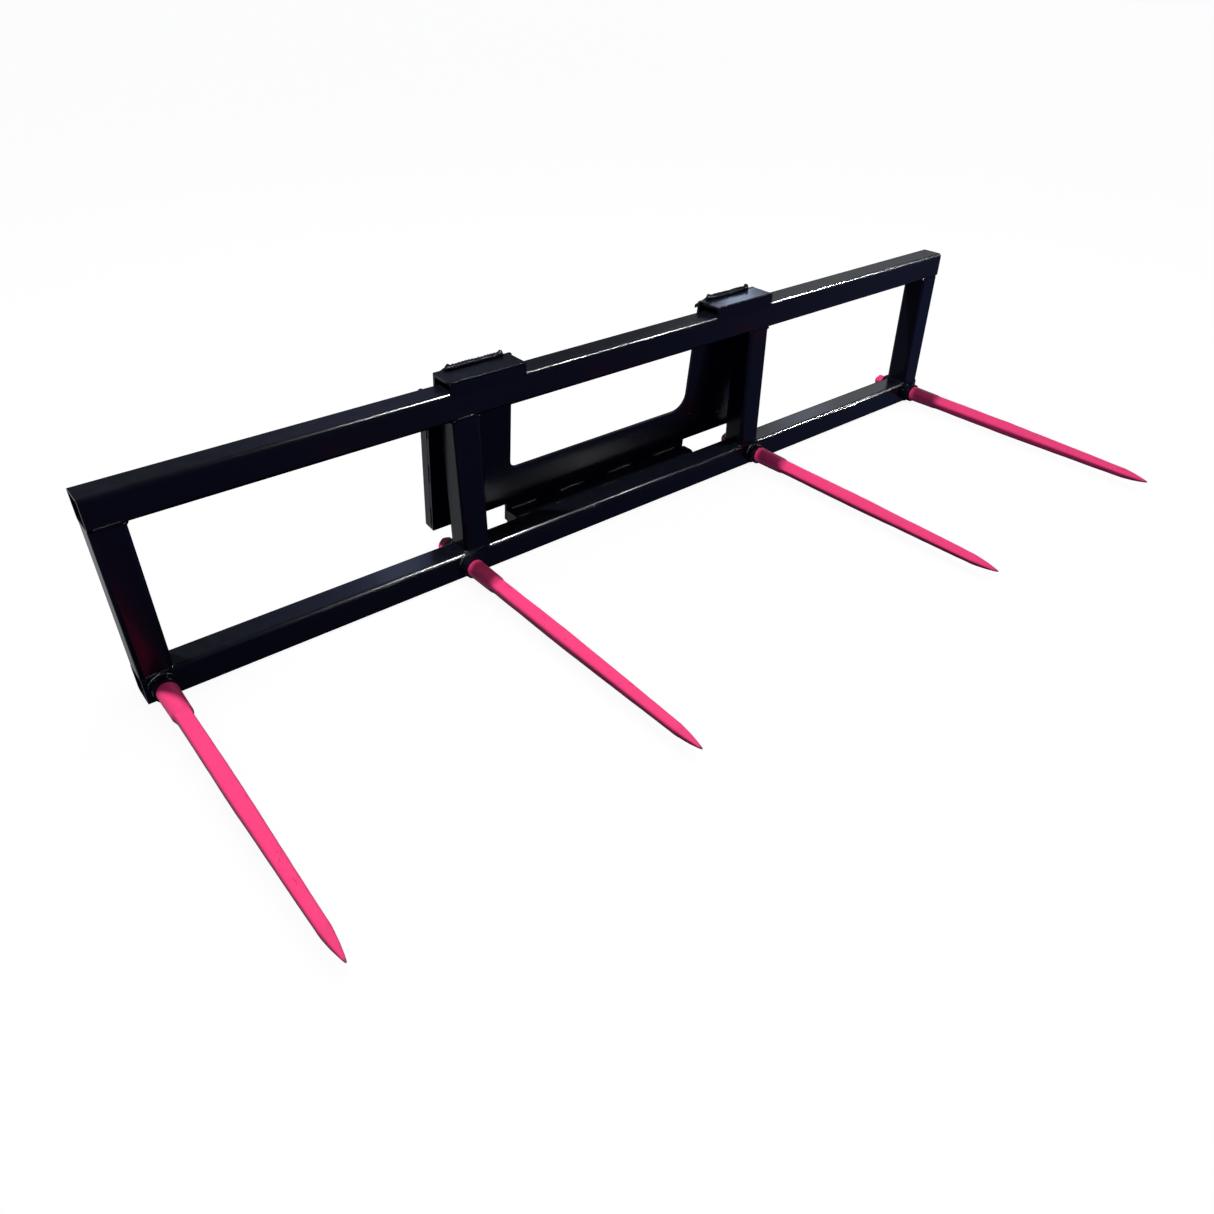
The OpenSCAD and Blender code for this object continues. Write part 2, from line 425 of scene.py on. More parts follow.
class Shape:
    """Several surfaces collected into one mesh."""

    def __init__(self):
        self.verts, self.faces = [], []

    def take(self, verts, faces):
        start = len(self.verts)
        self.verts += [tuple(v) for v in verts]
        self.faces += [tuple(start + i for i in f) for f in faces]

    def mesh(self, name):
        mesh = bpy.data.meshes.new(name)
        mesh.from_pydata(self.verts, [], self.faces)
        bm = bmesh.new()
        bm.from_mesh(mesh)
        bmesh.ops.recalc_face_normals(bm, faces=bm.faces)
        bm.to_mesh(mesh)
        bm.free()
        return mesh


# ---------- weld beads ----------
def spread(points, step, closed):
    """Even steps along a line of (point, outward) pairs."""
    pairs = list(points) + ([points[0]] if closed else [])
    lengths = [(b[0] - a[0]).length for a, b in zip(pairs, pairs[1:])]
    total = sum(lengths)
    count = max(4, round(total / step))
    out, index, walked = [], 0, 0.0
    for i in range(count + (0 if closed else 1)):
        goal = total * i / count
        while index < len(lengths) - 1 and walked + lengths[index] < goal:
            walked += lengths[index]
            index += 1
        share = (goal - walked) / max(lengths[index], 1e-9)
        a, b = pairs[index], pairs[index + 1]
        out.append((a[0].lerp(b[0], share), a[1].lerp(b[1], share).normalized()))
    return out, total


def bead(shape, points, width, height, seed, closed=False, rough=1.0, pitch=None):
    """A weld bead along a line: overlapping crescents with uneven width and height."""
    settings = bpy.context.scene.spear_beads
    pairs, total = spread(points, settings.step, closed)
    ripples = max(1, round(total / (pitch or settings.ripple)))
    rng = random.Random(seed)
    shift = rng.uniform(0, 50)
    lumps = [rng.uniform(-1, 1) for _ in range(ripples + 2)]
    rings, count, across = [], len(pairs), 9
    for i, (point, outward) in enumerate(pairs):
        before = pairs[i - 1] if closed or i else pairs[i]
        after = pairs[(i + 1) % count] if closed or i < count - 1 else pairs[i]
        along = (after[0] - before[0]).normalized()
        aside = outward.cross(along).normalized()
        at = total * i / count
        sway = noise.noise(Vector((at * 70, shift, 0.3)))
        fade = 1.0
        if not closed:
            # both ends are rounded off
            near = min(at, total - at) / (width * 0.55)
            fade = math.sqrt(max(0.02, 1 - (1 - min(1, near)) ** 2))
        ring = []
        for j in range(across):
            u = -1 + 2 * j / (across - 1)
            phase = at / total * ripples + 0.55 * u * u
            lump = lumps[int(phase) % len(lumps)]
            crest = math.sin(math.pi * (phase - math.floor(phase)) ** 0.7)
            size = 1 + rough * (0.10 * lump + 0.22 * crest - 0.1)
            half = width / 2 * fade * (1 + 0.10 * sway + 0.06 * rough * crest)
            up = height * fade * size * math.sqrt(max(0.0, 1 - u * u))
            foot = height * 0.35 * (abs(u) > 0.99)
            ring.append(point + aside * (u * half) + outward * (up - foot))
        rings.append(ring)
    shape.take(*skin(rings, closed_path=closed))


def line(a, b, outward):
    """A straight path for a bead that faces outward."""
    return [(Vector(a), Vector(outward).normalized()), (Vector(b), Vector(outward).normalized())]


class SPEAR_OT_post_beads(bpy.types.Operator):
    """Weld beads where the four uprights meet the two rails"""
    bl_idname = "spear.post_beads"
    bl_label = "Upright welds"

    def execute(self, context):
        shape = Shape()
        width = context.scene.spear_beads.width
        sink, set_back = 1.6 * MM, 3.6 * MM
        for index, name in enumerate(POSTS):
            low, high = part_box(name)
            for joint, sign in ((RAIL_HI.z, 1), (TOP_LO.z, -1)):
                seed = 10 * index + sign
                z = joint - sign * set_back
                for face in (-1, 1):
                    y = face * (HALF - sink)
                    path = line((low.x + CORNER, y, z), (high.x - CORNER, y, z), (0, face, 0))
                    bead(shape, path, width * 1.25, height=3.0 * MM, seed=seed + face, rough=0.7)
                for side, x in ((-1, low.x), (1, high.x)):
                    # the outer sides of the end uprights are level with the ends of the rails
                    if abs(x) <= RAIL_HI.x - MM:
                        bead(shape, self.side_path(x, side, joint, sign), width, height=3.2 * MM,
                             seed=seed + 5 * side, rough=0.9)
        beads = piece("beads_uprights", shape.mesh("beads_uprights"), "weld_gloss_black")
        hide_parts("welds_posts")
        return {"FINISHED"}

    def side_path(self, x, side, joint, sign):
        """Along one side of an upright, turning in round its corners at both ends."""
        flat, most_turn, steps = 0.72, math.radians(80), 9
        reach = CORNER + 0.8 * MM
        path = []
        for k in range(-steps, steps + 1):
            t = k / steps
            turn = max(0.0, abs(t) - flat) / (1 - flat) * most_turn
            nx, ny = math.cos(turn), math.copysign(math.sin(turn), t)
            y = (HALF - CORNER) * max(-1.0, min(1.0, t / flat))
            rise = 1.4 * MM - 3.4 * MM * (1 - nx)
            place = (x + side * (nx * reach - CORNER), y + ny * reach, joint + sign * rise)
            path.append((Vector(place), Vector((side * nx, ny, sign * 0.8 * nx)).normalized()))
        return path


class SPEAR_OT_bush_beads(bpy.types.Operator):
    """Ring welds where the bushes stand out of the bottom rail"""
    bl_idname = "spear.bush_beads"
    bl_label = "Bush welds"

    def execute(self, context):
        shape = Shape()
        width = context.scene.spear_beads.width
        for index, name in enumerate(TINES):
            for face in (-1, 1):
                bead(shape, self.ring_path(middle(name), face), width, height=3.4 * MM,
                     seed=200 + 2 * index + face, closed=True, rough=1.2)
        beads = piece("beads_bushes", shape.mesh("beads_bushes"), "weld_gloss_black")
        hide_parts("welds_bushes")
        return {"FINISHED"}

    def ring_path(self, x, face):
        """Round one bush, sinking where it passes over the rounded edges of the rail."""
        steps, reach = 60, BUSH_R + 1.4 * MM
        path = []
        for k in range(steps):
            angle = 2 * math.pi * k / steps
            radial = Vector((math.cos(angle), 0, math.sin(angle)))
            over = max(0.0, abs(radial.z) * (BUSH_R + 2 * MM) - (HALF - CORNER))
            sink = CORNER - math.sqrt(CORNER ** 2 - over ** 2)
            place = Vector((x, face * (HALF + 0.6 * MM - sink), AXIS_Z)) + radial * reach
            path.append((place, (radial * 0.75 + Vector((0, face, 0))).normalized()))
        return path


class SPEAR_OT_plate_beads(bpy.types.Operator):
    """Stitches and beads on the plate, its spacer, cheeks, brackets and hook lips"""
    bl_idname = "spear.plate_beads"
    bl_label = "Plate welds"

    def execute(self, context):
        shape = Shape()
        width = context.scene.spear_beads.width
        self.spacer(shape, width)
        for side in (-1, 1):
            self.hook_lip(shape, side)
            self.bracket(shape, side)
            self.cheek(shape, side, width)
            self.spacer_cap(shape, side)
        self.flange(shape, width)
        beads = piece("beads_plate", shape.mesh("beads_plate"), "weld_gloss_black")
        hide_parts("welds_plate")
        return {"FINISHED"}

    def spacer(self, shape, width):
        """Stitches from the spacer to the plate, and beads in its groove along the rail."""
        length, z = 88 * MM, SPACER_HI.z + 2 * MM
        for n, x in enumerate((-322 * MM, -150 * MM, 28 * MM, 206 * MM)):
            start, end = plate_point(x, z, -2 * MM), plate_point(x + length, z, -2 * MM)
            bead(shape, line(start, end, (0, -0.8, 1)), width, height=3.2 * MM, seed=300 + n,
                 rough=2.2, pitch=7 * MM)
        length, z = 70 * MM, SPACER_HI.z - 4 * MM
        for n, x in enumerate((-290 * MM, -95 * MM, 110 * MM, 235 * MM)):
            path = line((x, HALF, z), (x + length, HALF, z), (0, 0, 1))
            bead(shape, path, width=12 * MM, height=3 * MM, seed=310 + n)

    def hook_lip(self, shape, side):
        """A heavy bead in front of a hook lip, with a lump at both ends."""
        x0, x1 = side * (HOOK_LO.x + MM), side * (HOOK_HI.x - MM)
        z = SADDLE_HI.z + 1.6 * MM
        path = line(plate_point(x0, z, 4 * MM), plate_point(x1, z, 4 * MM), (0, -0.5, 1))
        bead(shape, path, width=17 * MM, height=8 * MM, seed=320 + side, rough=2.2, pitch=9 * MM)
        for n, x in enumerate((x0 + side * 5 * MM, x1 - side * 9 * MM)):
            start, end = plate_point(x - 6 * MM, z, 5 * MM), plate_point(x + 9 * MM, z, 5 * MM)
            bead(shape, line(start, end, (0, -0.3, 1)), width=22 * MM, height=13.5 * MM,
                 seed=330 + 2 * side + n, rough=1.2, pitch=8 * MM)

    def bracket(self, shape, side):
        """Front of a bracket: its lower edge, its upper edge and its two corners."""
        x0, x1 = side * (SADDLE_LO.x + 5 * MM), side * (SADDLE_HI.x - 5 * MM)
        low_y, z = -HALF + 0.8 * MM, TOUCH_Z + 1.5 * MM
        bead(shape, line((x0, low_y, z), (x1, low_y, z), (0, -1, 0)),
             width=6 * MM, height=0.9 * MM, seed=340 + side, rough=0.9)
        y, z = -HALF + 1.4 * MM, SADDLE_HI.z - 1.4 * MM
        bead(shape, line((x0, y, z), (x1, y, z), (0, -1, 1)),
             width=7 * MM, height=1.7 * MM, seed=350 + side, rough=3.0, pitch=8 * MM)
        for x, way in ((x0, -side), (x1, side)):
            corner = x + way * 4 * MM
            path = line((corner, y, SADDLE_HI.z - 3 * MM), (corner, y, TOUCH_Z + MM), (way, -1, 0))
            bead(shape, path, width=6 * MM, height=1.6 * MM, seed=355 + side + way, rough=1.5,
                 pitch=6 * MM)

    def cheek(self, shape, side, width):
        """Three short seams outside a cheek, and three beads in the corner inside it."""
        edge, length = side * PLATE_EDGE, 55 * MM
        for n in range(3):
            z = WING_Z + (15 + 130 * n) * MM
            start, end = plate_point(edge, z, PLATE_T), plate_point(edge, z + length, PLATE_T)
            bead(shape, line(start, end, (side, 0, 0)), width=7 * MM, height=1.6 * MM,
                 seed=360 + 5 * side + n)
            x, z, back = edge - side * 11 * MM, z + 60 * MM, PLATE_T + MM
            path = line(plate_point(x, z, back), plate_point(x, z + length, back), (-side, 1, 0))
            bead(shape, path, width, height=3 * MM, seed=370 + 5 * side + n)

    def spacer_cap(self, shape, side):
        """A flat bead round the end cap of the spacer."""
        x, steps = side * (SPACER_HI.x - 4 * MM), 5
        y0, y1 = SPACER_LO.y + CORNER, SPACER_HI.y - CORNER
        z0, z1 = SPACER_LO.z + CORNER, SPACER_HI.z - CORNER
        path = []
        for quarter, (y, z) in enumerate(((y1, z1), (y0, z1), (y0, z0), (y1, z0))):
            for k in range(steps + 1):
                angle = math.radians(90 * (quarter + k / steps))
                out = Vector((0, math.cos(angle), math.sin(angle)))
                path.append((Vector((x, y, z)) + out * (CORNER - 1.9 * MM), out))
        bead(shape, path, width=6 * MM, height=1.6 * MM, seed=380 + side, closed=True)

    def flange(self, shape, width):
        """Beads where the lower flange meets the back of the plate."""
        length, z, back = 90 * MM, WING_Z + PLATE_T + 1.2 * MM, PLATE_T + MM
        for n, x in enumerate((-520 * MM, -250 * MM, -60 * MM, 130 * MM, 430 * MM)):
            path = line(plate_point(x, z, back), plate_point(x + length, z, back), (0, 1, 1))
            bead(shape, path, width, height=3.2 * MM, seed=390 + n)


# ---------- tines ----------
def blend_between(stops, y):
    """Straight-line value at y between falling stops of (y, value)."""
    if y >= stops[0][0]:
        return stops[0][1]
    for (y0, v0), (y1, v1) in zip(stops, stops[1:]):
        if y >= y1:
            return v0 + (v1 - v0) * (y0 - y) / (y0 - y1)
    return stops[-1][1]


def ring_about(x, y, radii, turn=0.0):
    """A ring of points about a tine's axis, one for each radius."""
    angles = [2 * math.pi * j / len(radii) + turn for j in range(len(radii))]
    return [Vector((x + math.cos(a) * r, y, AXIS_Z + math.sin(a) * r))
            for a, r in zip(angles, radii)]


def tine_places(tip_y):
    """Where the rings of a tine stand: close on the shoulder and the point, wider on the bar."""
    shoulder_end, point_start = BUSH_LO.y - 140 * MM, tip_y + 80 * MM
    places = [BUSH_LO.y + 3 * MM, BUSH_LO.y]
    while places[-1] > point_start:
        places.append(places[-1] - (4 * MM if places[-1] > shoulder_end else 9 * MM))
    to_tip = (76, 68, 60, 52, 44, 36, 30, 24, 18, 13, 9, 6, 3.5, 1.5, 0.5, 0)
    return places + [tip_y + distance * MM for distance in to_tip]


def tine_rings(x, tip_y, waviness, seed, turn):
    """Round root, shoulder, square bar turned in its seat and pencil point."""
    face, bar, segments = BUSH_LO.y, 18 * MM, 48
    knee = face - 375.5 * MM
    round_half = [(face, 25 * MM), (face - 98 * MM, 23.5 * MM), (face - 118 * MM, 17 * MM),
                  (face - 130 * MM, 0.0)]
    square_half = [(face - 80 * MM, 0.0), (face - 84 * MM, bar), (knee, bar),
                   (tip_y + 75 * MM, 12.2 * MM), (tip_y + 40 * MM, 8.8 * MM),
                   (tip_y + 14 * MM, 4.6 * MM), (tip_y + 3 * MM, 2.4 * MM), (tip_y, 1.0 * MM)]
    soft, blend_width, blend_rise = 2.6, 1.2 * MM, 0.6 * MM
    rings = []
    for y in tine_places(tip_y):
        radius, half = blend_between(round_half, y), blend_between(square_half, y)
        # the edges of the square soften towards the point
        sharp = 5.3 + 1.6 * noise.noise(Vector((seed, y * 9, 0)))
        power = soft + (sharp - soft) * min(1.0, max(0.0, (y - tip_y) / (70 * MM))) ** 0.6
        # the bar wanders a little from its axis
        lean = Vector((noise.noise(Vector((seed + 7, y * 5, 0))), 0,
                       noise.noise(Vector((seed + 9, y * 5, 0))))) * 0.6 * MM
        lean *= min(1.0, max(0.0, (face - 60 * MM - y) / 0.2))
        radii = []
        for j in range(segments):
            angle = 2 * math.pi * (j + 0.5) / segments
            c, s = math.cos(angle), math.sin(angle)
            across, upright = abs(math.cos(angle - turn)), abs(math.sin(angle - turn))
            square = half / (across ** power + upright ** power) ** (1 / power)
            low, high = sorted((radius, square))
            r = high + blend_rise * math.exp(-(high - low) / blend_width) * (low > 0)
            ripple = noise.noise(Vector((seed + c * 1.1, y * 26, s * 1.1)))
            dent = noise.noise(Vector((seed + c * 2.5, y * 70, s * 2.5)))
            radii.append(r + waviness * (ripple + 0.45 * dent) * min(1.0, r / (12 * MM)))
        rings.append([p + lean for p in ring_about(x, y, radii, math.pi / segments)])
    return rings


def thread_rings(x, start, end, pitch):
    """A threaded stud between two places along Y, chamfered at its end."""
    segments, steps_per_turn, chamfer = 48, 6, 1.8 * MM
    count = math.ceil((end - start) / (pitch / steps_per_turn))
    rings = []
    for i in range(count + 1):
        y = start + (end - start) * i / count
        cut = max(0.0, chamfer - (end - y))
        radii = []
        for j in range(segments):
            phase = (y / pitch + j / segments) % 1.0
            depth = 0.55 * pitch * (1 - abs(2 * phase - 1))
            radii.append(STUD_R - max(depth, cut))
        rings.append(ring_about(x, y, radii))
    return rings


class SPEAR_OT_tines(bpy.types.Operator):
    """Four forged tines with round root, shoulder, square bar, pencil point and threaded stud"""
    bl_idname = "spear.tines"
    bl_label = "Tines"

    def execute(self, context):
        settings = context.scene.spear_tines
        for index, (name, turn) in enumerate(zip(TINES, (2, 16, 38, 30))):
            low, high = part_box(name)
            x, seed = middle(name), 3.7 * index + 1
            shape = Shape()
            shape.take(*skin(tine_rings(x, low.y, settings.waviness, seed, math.radians(turn))))
            shape.take(*skin(thread_rings(x, BUSH_HI.y - 4 * MM, high.y, settings.pitch)))
            tine = piece(f"forged_{name}", shape.mesh(f"forged_{name}"), "tine_satin_pink",
                         smooth=38)
            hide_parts(name)
        return {"FINISHED"}


class SPEAR_OT_fixings(bpy.types.Operator):
    """Chamfered hexagon nuts and washers behind the bottom rail"""
    bl_idname = "spear.fixings"
    bl_label = "Nuts and washers"

    SEGMENTS = 72

    def execute(self, context):
        nuts, washers = Shape(), Shape()
        for name, turn in zip(TINES, (0, 17, -11, 8)):
            nuts.take(*skin(self.nut_rings(middle(name), math.radians(turn)), caps=False))
            washers.take(*skin(self.washer_rings(middle(name)), closed_path=True))
        nut = piece("hex_nuts", nuts.mesh("hex_nuts"), "tine_satin_pink", smooth=25)
        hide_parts("nuts")
        washer = piece("round_washers", washers.mesh("round_washers"), "tine_satin_pink",
                       smooth=30)
        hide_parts("washers")
        return {"FINISHED"}

    def nut_rings(self, x, turn):
        """A hexagon whose corners are turned off at both faces, and the mouth of its bore."""
        low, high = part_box("nuts")
        bevel, steps = 2.4 * MM, 6
        rising = [k / steps for k in range(steps + 1)]
        faces = [(low.y + bevel * share, share) for share in rising]
        faces += [(high.y - bevel * share, share) for share in reversed(rising)]
        rings = [self.circle(x, low.y, BORE_R, turn)]
        rings += [ring_about(x, y, self.hexagon(share), turn) for y, share in faces]
        rings += [self.circle(x, high.y, BORE_R + 0.8 * MM, turn),
                  self.circle(x, high.y - 1.4 * MM, BORE_R - 0.6 * MM, turn)]
        return rings

    def washer_rings(self, x):
        low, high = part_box("washers")
        edge = 0.9 * MM
        outline = [(low.y, BORE_R), (low.y, WASHER_R - edge), (low.y + edge, WASHER_R),
                   (high.y - edge, WASHER_R), (high.y - 0.3 * edge, WASHER_R - 0.3 * edge),
                   (high.y, WASHER_R - edge), (high.y, BORE_R)]
        return [self.circle(x, y, radius, 0.0) for y, radius in outline]

    def circle(self, x, y, radius, turn):
        return ring_about(x, y, [radius] * self.SEGMENTS, turn)

    def hexagon(self, share):
        """Radii of the hexagon, turned down to a circle at share 0 and full at share 1."""
        flat, sixth = NUT_FLATS / 2, math.pi / 3
        most = min(1.135, 0.97 + 0.185 * share)
        radii = []
        for j in range(self.SEGMENTS):
            sector = (2 * math.pi * j / self.SEGMENTS + sixth / 2) % sixth - sixth / 2
            radii.append(flat * min(1 / math.cos(sector), most))
        return radii


# ---------- frame ----------
class SPEAR_OT_frame_finish(bpy.types.Operator):
    """Paint on the tubes, bushes and sheet parts, with small radii on cut edges"""
    bl_idname = "spear.frame_finish"
    bl_label = "Frame finish"

    def execute(self, context):
        paint = material("frame_gloss_black")
        tube_edge, bracket_edge = 0.5 * MM, 3 * MM
        for name, node in frame["nodes"].items():
            if node.hide_render:
                continue
            for slot in node.material_slots:
                slot.material = paint
            weld = node.modifiers.new("joined corners", "WELD")
            weld.merge_threshold = 0.02 * MM
            if name in SHEET_PARTS:
                flat = node.modifiers.new("flat faces", "DECIMATE")
                flat.decimate_type = "DISSOLVE"
                flat.angle_limit = math.radians(0.5)
            edge = node.modifiers.new("cut edges", "BEVEL")
            edge.width = context.scene.spear_paint.edge if name in SHEET_PARTS else tube_edge
            if name.startswith("saddle"):
                edge.width = bracket_edge
            edge.segments = 3
            edge.limit_method = "ANGLE"
            edge.angle_limit = math.radians(35)
            edge.harden_normals = True
            edge.use_clamp_overlap = True
        return {"FINISHED"}


class SPEAR_OT_tube_seams(bpy.types.Operator):
    """Inside weld seams of the two rails, seen through their open ends"""
    bl_idname = "spear.tube_seams"
    bl_label = "Tube seams"

    def execute(self, context):
        shape = Shape()
        rng = random.Random(41)
        count, step, set_back = 81, 4 * MM, 0.5 * MM
        foot, half, shoulder = 0.3 * MM, 2.4 * MM, 1.4 * MM
        for low, high in ((RAIL_LO, RAIL_HI), (TOP_LO, TOP_HI)):
            y, z = low.y + TUBE_WALL, (low.z + high.z) / 2 + 6 * MM
            for end in (-1, 1):
                rings = []
                for i in range(count):
                    x = end * (high.x - set_back - i * step)
                    rise = (0.8 + 0.25 * rng.random()) * MM
                    sway = 0.3 * MM * rng.random()
                    section = ((-foot, -half), (rise * 0.7, sway - shoulder), (rise, sway),
                               (rise * 0.7, shoulder), (-foot, half))
                    rings.append([Vector((x, y + out, z + up)) for out, up in section])
                shape.take(*skin(rings))
        piece("tube_seams", shape.mesh("tube_seams"), "weld_gloss_black")
        return {"FINISHED"}


# ---------- studio ----------
class SPEAR_OT_stage(bpy.types.Operator):
    """Pale floor, soft light and camera"""
    bl_idname = "spear.stage"
    bl_label = "Stage"

    FLOOR_REACH = 30.0
    LAMP_REACH = 3.0
    # place and power of the lamps that light the beads only
    SPARKS = (((-3.2, -1.2, 2.6), 170), ((-0.4, -2.2, 3.4), 100), ((1.6, -0.6, 3.8), 150))
    # place along the rail, length and power of the glints on its rounded front edge
    GLINTS = {
        "top_rail": ((-0.69, 0.17, 14), (-0.22, 0.06, 3), (0.195, 0.11, 4), (1.10, 0.13, 14)),
        "bottom_rail": ((-0.81, 0.05, 9), (-0.58, 0.07, 11), (-0.02, 0.14, 1.5), (1.16, 0.18, 12)),
    }
    # part, place along the rails, height, length and power of the sheens on faces that look up
    SHEENS = (("saddle_right", 0.44, SADDLE_HI.z, 0.22, 1.4),
              ("bottom_rail", 0.8, RAIL_HI.z, 0.5, 0.5),
              ("bottom_rail", -0.72, RAIL_HI.z, 0.22, 0.6))
    SHEEN_BLUE = (0.55, 0.70, 1.0)
    WARM_WHITE, NAVY_LIGHT = (0.93, 0.96, 1.0), (0.30, 0.37, 1.0)

    def execute(self, context):
        scene = context.scene
        scene.view_settings.view_transform = "Standard"
        scene.view_settings.look = "None"
        floor = self.floor(scene)
        backdrop = self.backdrop(scene)
        self.camera(scene)
        self.world(scene)
        self.lights(scene, floor, backdrop)
        return {"FINISHED"}

    def surface(self, scene, name, mesh):
        """A pale stage surface that neither lights the frame nor shows in its gloss."""
        mesh.materials.append(material("pale_floor"))
        obj = bpy.data.objects.new(name, mesh)
        scene.collection.objects.link(obj)
        obj.visible_glossy = False
        obj.visible_diffuse = False
        return obj

    def floor(self, scene):
        reach = self.FLOOR_REACH
        corners = [(-reach, -reach, 0), (reach, -reach, 0), (reach, reach, 0), (-reach, reach, 0)]
        mesh = bpy.data.meshes.new("floor")
        mesh.from_pydata(corners, [], [(0, 1, 2, 3)])
        floor = self.surface(scene, "floor", mesh)
        floor.location.z = RAIL_LO.z - 0.3 * MM
        return floor

    def backdrop(self, scene):
        dome = bmesh.new()
        bmesh.ops.create_uvsphere(dome, u_segments=48, v_segments=24, radius=self.FLOOR_REACH * 0.9)
        mesh = bpy.data.meshes.new("backdrop")
        dome.to_mesh(mesh)
        dome.free()
        backdrop = self.surface(scene, "backdrop", mesh)
        backdrop.visible_shadow = False
        return backdrop

    def camera(self, scene):
        settings = scene.spear_studio
        camera = bpy.data.objects.new("camera", bpy.data.cameras.new("camera"))
        camera.data.sensor_width = 36
        camera.data.lens = settings.lens
        camera.data.clip_end = 100
        camera.matrix_world = (Matrix.Translation(settings.place)
                               @ Matrix.Rotation(-settings.heading, 4, "Z")
                               @ Matrix.Rotation(math.radians(90) - settings.dip, 4, "X")
                               @ Matrix.Rotation(settings.roll, 4, "Z"))
        scene.collection.objects.link(camera)
        scene.camera = camera

    def world(self, scene):
        """Navy low in front, pale above and behind, and three soft glows for the gloss."""
        world = scene.world or bpy.data.worlds.new("studio")
        scene.world = world
        world.use_nodes = True
        s = Sheet(world.node_tree)
        way = s.out("ShaderNodeTexCoord", output="Generated")
        y = s.out("ShaderNodeSeparateXYZ", None, {0: way}, "Y")
        z = s.out("ShaderNodeSeparateXYZ", None, {0: way}, "Z")

        def glow(direction, low, high):
            aim = Vector(direction).normalized()
            nearness = s.out("ShaderNodeVectorMath", {"operation": "DOT_PRODUCT"},
                             {0: way, 1: aim}, "Value")
            return nearness.step(low, high)

        above = z.step(-0.05, 0.7)
        front = (1 - above) * y.step(0.6, -0.4) * z.step(-0.75, -0.33) * 0.30
        left = glow((-0.51, 0.63, -0.58), 0.90, 0.99) * 0.26
        right = glow((0.74, 0.50, 0.45), 0.955, 0.997) ** 2 * 0.9
        blue = glow((0.36, 0.77, 0.53), 0.985, 0.998) * 0.45
        behind = y.step(0.72, 0.92) * z.step(0.1, -0.1) * 0.6
        pale = 0.015 + above * 0.12 + left + right + behind
        navy = front + blue
        shade = s.blend(navy / (navy + pale), self.WARM_WHITE, self.NAVY_LIGHT)
        background = s.add("ShaderNodeBackground", None, {"Color": shade, "Strength": pale + navy})
        out = s.add("ShaderNodeOutputWorld")
        s.tree.links.new(background.outputs[0], out.inputs["Surface"])

    def lamp(self, scene, name, place, target, size, power, shape="RECTANGLE"):
        """An area lamp of two side lengths that looks at a target."""
        data = bpy.data.lights.new(name, "AREA")
        data.shape = shape
        data.size, data.size_y = size
        data.energy = power
        lamp = bpy.data.objects.new(name, data)
        lamp.location = place
        lamp.rotation_euler = (Vector(target) - Vector(place)).to_track_quat("-Z", "Y").to_euler()
        scene.collection.objects.link(lamp)
        return lamp

    def lights(self, scene, floor, backdrop):
        overhead = self.lamp(scene, "overhead_soft", place=(0.3, 0.3, 4.2), target=(0, -0.2, 0),
                             size=(4.5, 3.2), power=30)
        overhead.visible_glossy = False
        key = self.lamp(scene, "key", place=(-1.95, 1.15, 4.6), target=(0, -0.4, 0.2),
                        size=(0.30, 0.30), power=250, shape="DISK")
        key.visible_glossy = False
        # the key shapes the object only, so that the floor keeps soft shadows
        skips = bpy.data.collections.new("key_skips")
        for surface in (floor, backdrop):
            skips.objects.link(surface)
        key.light_linking.receiver_collection = skips
        for entry in skips.collection_objects:
            entry.light_linking.link_state = "EXCLUDE"

        beads = bpy.data.collections.new("lit_beads")
        for name in ("uprights", "bushes", "plate"):
            beads.objects.link(bpy.data.objects[f"beads_{name}"])
        for index, (place, power) in enumerate(self.SPARKS):
            spark = self.lamp(scene, f"spark_{index}", place, target=(0, 0, 0.2),
                              size=(0.16, 0.16), power=power)
            spark.visible_diffuse = False
            spark.light_linking.receiver_collection = beads

        inset, glint_side, sheen_side = 3 * MM, 1.1, 0.6
        for rail, glints in self.GLINTS.items():
            low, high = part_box(rail)
            for index, (x, length, power) in enumerate(glints):
                point = Vector((x, low.y + inset, high.z - inset))
                glint = self.mirrored(scene, f"glint_{rail}_{index}", point, (0, -1, 1),
                                      (length, glint_side), power, rail)
                glint.data.spread = math.radians(18)
        for index, (node, x, z, length, power) in enumerate(self.SHEENS):
            sheen = self.mirrored(scene, f"sheen_{node}_{index}", Vector((x, 0, z)), (0, 0, 1),
                                  (length, sheen_side), power, node)
            sheen.data.color = self.SHEEN_BLUE

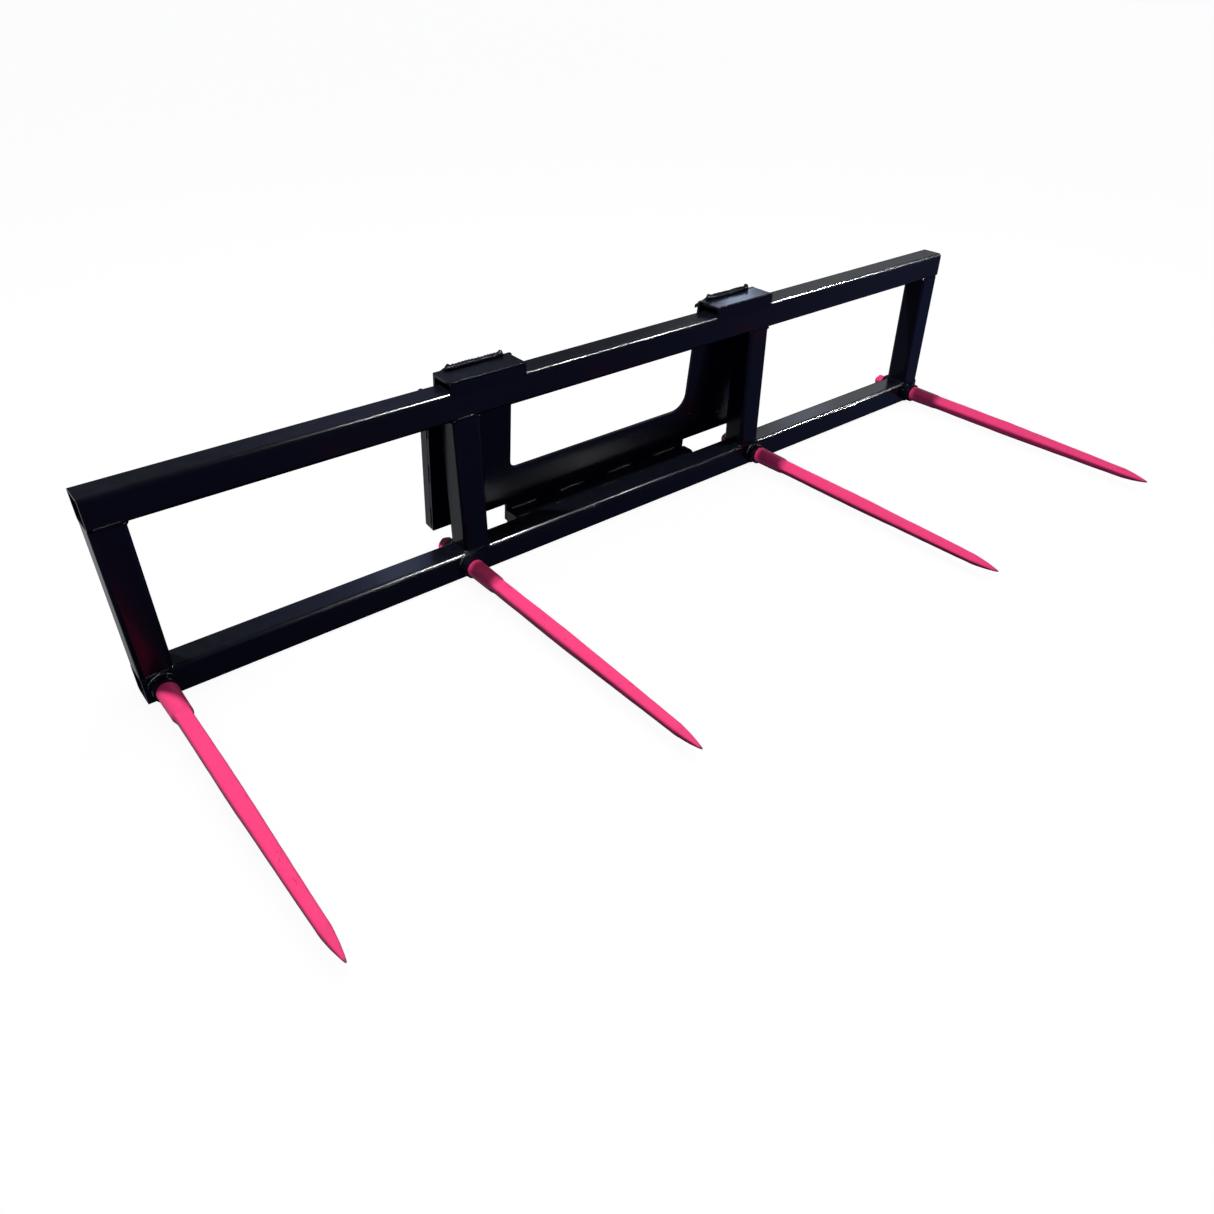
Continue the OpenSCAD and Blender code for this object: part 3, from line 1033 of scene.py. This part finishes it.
    def mirrored(self, scene, name, point, normal, size, power, node):
        """A lamp for one node only, whose image the camera sees at that point of it."""
        toward = Vector(scene.spear_studio.place) - point
        view = toward.normalized()
        facing = Vector(normal).normalized()
        ray = 2 * view.dot(facing) * facing - view
        across = math.hypot(ray.y, ray.z)
        width = size[0] * self.LAMP_REACH * across ** 2 / math.hypot(toward.y, toward.z)
        lamp = self.lamp(scene, name, point + ray * self.LAMP_REACH, point, (width, size[1]), power)
        # the long side lies across the rail and follows the curve of its rounded edge
        upright = Vector((0, ray.z, -ray.y)).normalized()
        lamp.rotation_euler = Matrix((upright.cross(ray), upright, ray)).transposed().to_euler()
        lamp.visible_diffuse = False
        lit = bpy.data.collections.new(f"lit_{name}")
        lit.objects.link(frame["nodes"][node])
        lamp.light_linking.receiver_collection = lit
        return lamp


# ---------- panel and run ----------
OPERATORS = (SPEAR_OT_post_beads, SPEAR_OT_bush_beads, SPEAR_OT_plate_beads, SPEAR_OT_tines,
             SPEAR_OT_fixings, SPEAR_OT_frame_finish, SPEAR_OT_tube_seams, SPEAR_OT_stage)


class SPEAR_PT_panel(bpy.types.Panel):
    """Lists the pieces and their settings"""
    bl_label = "Bale spear frame"
    bl_idname = "SPEAR_PT_panel"
    bl_space_type = "VIEW_3D"
    bl_region_type = "UI"
    bl_category = "Bale Spear"

    def draw(self, context):
        scene = context.scene
        for group in (scene.spear_paint, scene.spear_tines, scene.spear_beads, scene.spear_studio):
            box = self.layout.box()
            for key in group.__annotations__:
                box.prop(group, key)
        for operator in OPERATORS:
            self.layout.operator(operator.bl_idname)


GROUPS = {"spear_paint": FramePaintSettings, "spear_tines": TineSettings,
          "spear_beads": BeadSettings, "spear_studio": StudioSettings}


def register():
    for name, group in GROUPS.items():
        bpy.utils.register_class(group)
        setattr(bpy.types.Scene, name, bpy.props.PointerProperty(type=group))
    for operator in OPERATORS:
        bpy.utils.register_class(operator)
    bpy.utils.register_class(SPEAR_PT_panel)


def unregister():
    bpy.utils.unregister_class(SPEAR_PT_panel)
    for operator in reversed(OPERATORS):
        bpy.utils.unregister_class(operator)
    for name, group in GROUPS.items():
        delattr(bpy.types.Scene, name)
        bpy.utils.unregister_class(group)


def main():
    register()
    for operator in OPERATORS:
        group, call = operator.bl_idname.split(".")
        getattr(getattr(bpy.ops, group), call)()


if __name__ == "__main__":
    main()
